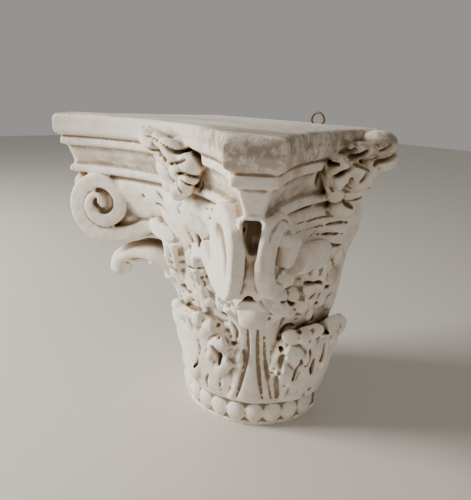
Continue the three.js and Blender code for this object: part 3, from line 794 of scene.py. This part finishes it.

# %% [markdown]
# ## Old plaster
#
# The casting is cream plaster under thin white paint. Open surfaces are pale; the hollows get painted shade,
# warm beige with some dust and nearly black in the deepest gaps. The plate's edge near the front corner and
# on the right has a worn grey-brown coat with white chips, and there are a few rust-coloured stains.

# %% Material helpers
def linear(code):
    """An sRGB hex colour as linear red, green, blue and alpha."""
    parts = [int(code[i:i + 2], 16) / 255 for i in (1, 3, 5)]
    return [v / 12.92 if v <= 0.04045 else ((v + 0.055) / 1.055) ** 2.4 for v in parts] + [1.0]


def add(tree, kind, inputs=(), **settings):
    """A node with its settings. A socket among the inputs is linked, a value is set."""
    node = tree.nodes.new("ShaderNode" + kind)
    for key, value in settings.items():
        setattr(node, key, value)
    for socket, value in dict(inputs).items():
        if isinstance(value, bpy.types.NodeSocket):
            tree.links.new(value, node.inputs[socket])
        else:
            node.inputs[socket].default_value = value
    return node


# %% [markdown]
# Cast plaster is matt and slightly chalky, so it is rough with a weak gloss. Its colour is laid on in layers:
# the plaster and paint, the worn coat, the dust on top, stains, then painted shade with some dirt in the
# hollows.

# %% Plaster
plaster = bpy.data.materials.new("cast_plaster")
plaster.use_nodes = True
tree = plaster.node_tree
shader = tree.nodes["Principled BSDF"]
spot = add(tree, "TexCoord").outputs["Object"]
axis = add(tree, "SeparateXYZ", {0: spot})
open_way = add(tree, "Attribute", attribute_name="openness").outputs["Fac"]
creased = add(tree, "Attribute", attribute_name="crease").outputs["Fac"]
PATCH, MOTTLE, GRAIN = 28, 130, 620


def noise_at(scale, detail=4, stretch=None):
    place = spot if stretch is None else add(tree, "Mapping", {"Vector": spot, "Scale": stretch}).outputs[0]
    settings = {"Vector": place, "Scale": scale, "Detail": detail, "Roughness": 0.6}
    return add(tree, "TexNoise", settings).outputs["Fac"]


def maths(operation, a, b):
    return add(tree, "Math", {0: a, 1: b}, operation=operation).outputs[0]


def share(value, start, end, least=0.0, most=1.0):
    """How far the value is from start to end, as a number from least to most."""
    limits = {"Value": value, "From Min": start, "From Max": end, "To Min": least, "To Max": most}
    return add(tree, "MapRange", limits, interpolation_type="SMOOTHSTEP").outputs[0]


def blend(amount, under, over):
    sockets = {"Factor": amount, 6: under, 7: linear(over)}
    return add(tree, "Mix", sockets, data_type="RGBA").outputs[2]


patches, mottle, grain = noise_at(PATCH), noise_at(MOTTLE), noise_at(GRAIN, 3)
colour = blend(share(mottle, 0.4, 0.7), linear("#f2ede3"), "#e3dac9")
colour = blend(share(patches, 0.5, 0.72, 0.0, 0.5), colour, "#d9ccb6")

on_plate = share(axis.outputs["Z"], 0.2508, 0.2518)
towards_corner = share(axis.outputs["X"], 0.02, 0.085, 0.22, 1.0)
coat = maths("MULTIPLY", on_plate, towards_corner)
chips = share(maths("ADD", mottle, maths("MULTIPLY", grain, 0.35)), 0.60, 0.78, 1.0, 0.15)
coat = maths("MULTIPLY", coat, chips)
colour = blend(maths("MULTIPLY", coat, 0.85), colour, "#b0a192")
up_to_edge = share(axis.outputs["Z"], 0.2722, 0.2712)
high_band = maths("MULTIPLY", share(axis.outputs["Z"], 0.2605, 0.2635), up_to_edge)
grey = maths("MULTIPLY", maths("MULTIPLY", high_band, towards_corner), share(mottle, 0.35, 0.6, 1.0, 0.4))
colour = blend(maths("MULTIPLY", grey, 0.75), colour, "#8b8174")
top = share(axis.outputs["Z"], 0.2712, 0.2722)
streaks = noise_at(16, 6, (0.35, 2.6, 1.0))
colour = blend(maths("MULTIPLY", top, share(streaks, 0.42, 0.66, 0.1, 0.75)), colour, "#b9b1a5")

front = maths("MULTIPLY", top, share(axis.outputs["Y"], -0.07, -0.112, 0.0, 1.0))
colour = blend(maths("MULTIPLY", front, share(streaks, 0.38, 0.62, 0.15, 0.7)), colour, "#857c70")

# Painted shade with some dust: the less open a point, the warmer beige it is painted, and the deeper its
# crease, the browner.
shade_and_dust = maths("ADD", open_way, maths("MULTIPLY", mottle, 0.16))
colour = blend(share(shade_and_dust, 0.92, 0.58, 0.0, 0.85), colour, "#b39b78")
colour = blend(share(creased, 0.04, 0.26, 0.0, 0.85), colour, "#7d6547")
for turn, reach, rise, size, tint in [
    (7.4, 97, 189, 7, "#c79a5e"), (41.2, 172, 231, 8, "#b98b62"), (37.5, 152, 207, 8, "#c9a594"),
    (53, 146, 253, 14, "#a98c6c"), (12, 98, 203, 5, "#c79a5e"), (96, 90, 150, 14, "#b98f62"),
]:
    offset = add(tree, "VectorMath", {0: spot, 1: around(turn, reach, rise) * MM}, operation="DISTANCE")
    away = maths("ADD", offset.outputs["Value"], maths("MULTIPLY", mottle, 0.006))
    near = share(away, size * 1.3 * MM, size * 0.5 * MM)
    colour = blend(maths("MULTIPLY", near, 0.55), colour, tint)
# Painted shade: the most closed hollows and deepest creases are painted nearly black.
colour = blend(share(shade_and_dust, 0.62, 0.36), colour, "#2e2217")
colour = blend(share(creased, 0.34, 0.7, 0.0, 0.9), colour, "#33261a")
tree.links.new(colour, shader.inputs["Base Color"])
shader.inputs["Roughness"].default_value = 0.82
shader.inputs["Specular IOR Level"].default_value = 0.3
rough = maths("ADD", maths("MULTIPLY", mottle, 1.0), maths("MULTIPLY", grain, 0.35))
bump = add(tree, "Bump", {"Height": rough, "Strength": 0.55, "Distance": 0.9 * MM})
tree.links.new(bump.outputs["Normal"], shader.inputs["Normal"])
casting.data.materials.clear()
casting.data.materials.append(plaster)
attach(casting, "root")
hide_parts("capital")

# %% [markdown]
# ## Hanging wire
#
# A loop of rusty iron wire was set in the plaster while it was soft, near the back edge of the top. Its two
# legs lean together where they go in.

# %% Wire
wire_low, wire_high = (np.array(corner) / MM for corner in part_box("hanging_wire"))
wire_middle = (wire_low[0] + wire_high[0]) / 2
WIRE_RADIUS = (wire_high[1] - wire_low[1]) / 2
half_loop = (wire_high[0] - wire_low[0]) / 2 - WIRE_RADIUS
loop_rise = wire_high[2] - WIRE_RADIUS - half_loop
depth_in_wall = (wire_low[1] + wire_high[1]) / 2
foot_spread, edge_spread = 0.55 * half_loop, 0.75 * half_loop
stops = [
    (wire_middle - foot_spread, depth_in_wall, HEIGHT - 8),
    (wire_middle - edge_spread, depth_in_wall, HEIGHT),
]
for a in np.linspace(math.pi, 0, 9):
    stops.append((wire_middle + half_loop * math.cos(a), depth_in_wall, loop_rise + half_loop * math.sin(a)))
stops += [
    (wire_middle + edge_spread, depth_in_wall, HEIGHT),
    (wire_middle + foot_spread, depth_in_wall, HEIGHT - 8),
]
wire_form = Clay()
thickness = [WIRE_RADIUS * 0.97] * len(stops)
wire_form.bar(stops, np.array([0.0, 1.0, 0.0]), thickness, thickness, 90, 14)
wire = wire_form.mesh("wire_loop")
wire.data.shade_smooth()
iron = bpy.data.materials.new("rusty_iron")
iron.use_nodes = True
tree = iron.node_tree
shader = tree.nodes["Principled BSDF"]
spot = add(tree, "TexCoord").outputs["Object"]
rust = share(noise_at(700), 0.4, 0.6)
colour = blend(rust, linear("#3c332c"), "#6b4a33")
tree.links.new(colour, shader.inputs["Base Color"])
shader.inputs["Metallic"].default_value = 0.4
shader.inputs["Roughness"].default_value = 0.6
wire.data.materials.append(iron)
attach(wire, "root")
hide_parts("hanging_wire")

# %% [markdown]
# ## Stage and light
#
# The casting stands on a plain pale floor. A small window light from the left rakes across the relief, and
# a weak warm one fills the right face.

# %% Stage
floor_mesh = bpy.data.meshes.new("floor")
r = 3.0
floor_mesh.from_pydata([(-r, -r, 0), (r, -r, 0), (r, r, 0), (-r, r, 0)], [], [(0, 1, 2, 3)])
floor = bpy.data.objects.new("floor", floor_mesh)
bpy.context.scene.collection.objects.link(floor)
paper = bpy.data.materials.new("pale_floor")
paper.use_nodes = True
paper.node_tree.nodes["Principled BSDF"].inputs["Base Color"].default_value = linear("#cfcac2")
floor_mesh.materials.append(paper)


def area_light(name, place, target, size, power, colour):
    data = bpy.data.lights.new(name, "AREA")
    data.size, data.energy = size, power
    data.color = linear(colour)[:3]
    lamp = bpy.data.objects.new(name, data)
    lamp.location = place
    lamp.rotation_euler = (Vector(target) - Vector(place)).to_track_quat("-Z", "Y").to_euler()
    bpy.context.scene.collection.objects.link(lamp)


middle = (0, -0.05, 0.15)
area_light("window", (-0.85, -1.05, 0.75), middle, 0.5, 37, "#fffaf4")
area_light("fill", (1.3, -0.5, 0.4), middle, 1.6, 2.5, "#ffe3c2")
world = bpy.data.worlds.new("studio")
world.use_nodes = True
world.node_tree.nodes["Background"].inputs["Color"].default_value = linear("#f4f1ec")
world.node_tree.nodes["Background"].inputs["Strength"].default_value = 0.36
bpy.context.scene.world = world

# %% [markdown]
# The camera stands close in front of the cut corner and a little above the top, which gives the strong
# perspective.

# %% Camera
YAW, PITCH_DOWN, ROLL = math.radians(49.7), math.radians(18.0), math.radians(2.2)
place = Vector((319.4, -302.9, 291.6)) * MM
ahead = Vector((-math.sin(YAW) * math.cos(PITCH_DOWN), math.cos(YAW) * math.cos(PITCH_DOWN),
                -math.sin(PITCH_DOWN)))
right = ahead.cross(Vector((0, 0, 1))).normalized()
up = right.cross(ahead)
rolled_right = right * math.cos(ROLL) + up * math.sin(ROLL)
rolled_up = up * math.cos(ROLL) - right * math.sin(ROLL)
camera_data = bpy.data.cameras.new("camera")
camera_data.sensor_width = 36.0
camera_data.lens = 36.0 * 470 / 500
camera = bpy.data.objects.new("camera", camera_data)
axes = Matrix((rolled_right, rolled_up, -ahead)).transposed().to_4x4()
camera.matrix_world = Matrix.Translation(place) @ axes
bpy.context.scene.collection.objects.link(camera)
bpy.context.scene.camera = camera

# %% [markdown]

# %% Finish
bpy.context.view_layer.update()
